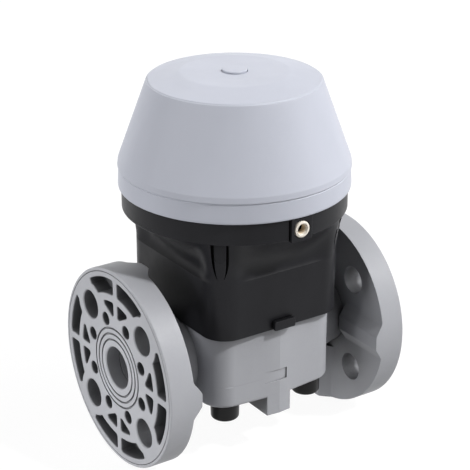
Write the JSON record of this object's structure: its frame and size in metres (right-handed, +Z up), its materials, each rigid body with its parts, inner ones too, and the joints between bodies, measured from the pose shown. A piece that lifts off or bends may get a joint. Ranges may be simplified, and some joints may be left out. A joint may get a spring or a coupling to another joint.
{
  "type": "diaphragm valve",
  "caption": "Pneumatic diaphragm valve with a spring-closed piston actuator and fixed end flanges: air lifts the piston, stem and diaphragm off the weir and a small disc shows it",
  "frame": {"origin": "where the pipe axis crosses the stem axis", "axes": "+X along the pipe from inlet to outlet, +Y across it, +Z up the stem; the air port faces -Y"},
  "size_m": [0.13, 0.1074, 0.1793],
  "materials": {
    "grey_pvc": "satin, faint moulding grain",
    "dome_grey": "smooth satin, slightly bluish light grey",
    "black_nylon": "satin, fine glass-fibre grain",
    "cap_black": "matte",
    "white_acetal": "smooth satin",
    "diaphragm_rubber": "matte",
    "seal_rubber": "matte",
    "stainless_steel": "turned and lightly brushed",
    "spring_steel": "drawn wire, oiled",
    "brass_insert": "turned",
    "port_insert": "pale nickel plate"
  },
  "bodies": {
    "housing": {"valve_body": "grey_pvc", "inlet_flange": "grey_pvc", "outlet_flange": "grey_pvc", "foot_insert_1": "brass_insert", "foot_insert_2": "brass_insert", "diaphragm_rim": "diaphragm_rubber", "diaphragm_membrane": "diaphragm_rubber", "bonnet": "black_nylon", "tag_plate": "black_nylon", "air_port_insert": "port_insert", "stem_guide_bush": "white_acetal", "bush_o_ring": "seal_rubber", "stem_o_ring_upper": "seal_rubber", "stem_o_ring_lower": "seal_rubber", "dome_o_ring": "seal_rubber", "actuator_dome": "dome_grey", "outer_spring": "spring_steel", "inner_spring": "spring_steel", "body_bolt_1": "stainless_steel", "bolt_washer_1": "stainless_steel", "bolt_cap_1": "cap_black", "bonnet_insert_1": "brass_insert", "body_bolt_2": "stainless_steel", "bolt_washer_2": "stainless_steel", "bolt_cap_2": "cap_black", "bonnet_insert_2": "brass_insert", "body_bolt_3": "stainless_steel", "bolt_washer_3": "stainless_steel", "bolt_cap_3": "cap_black", "bonnet_insert_3": "brass_insert", "body_bolt_4": "stainless_steel", "bolt_washer_4": "stainless_steel", "bolt_cap_4": "cap_black", "bonnet_insert_4": "brass_insert"},
    "stem_train": {"stem": "stainless_steel", "diaphragm_stud": "stainless_steel", "compressor": "black_nylon", "compressor_pin": "stainless_steel", "piston": "white_acetal", "piston_seal": "seal_rubber", "piston_washer": "stainless_steel", "piston_nut": "stainless_steel", "position_indicator": "dome_grey"}
  },
  "joints": [
    {"name": "stem_lift", "type": "slide", "parent": "housing", "child": "stem_train", "axis": [0, 0, 1], "range_m": [0, 0.008], "stiffness_N_per_m": 1500, "springref_m": -0.004, "deforming": ["outer_spring", "inner_spring", "diaphragm_membrane"]}
  ]
}
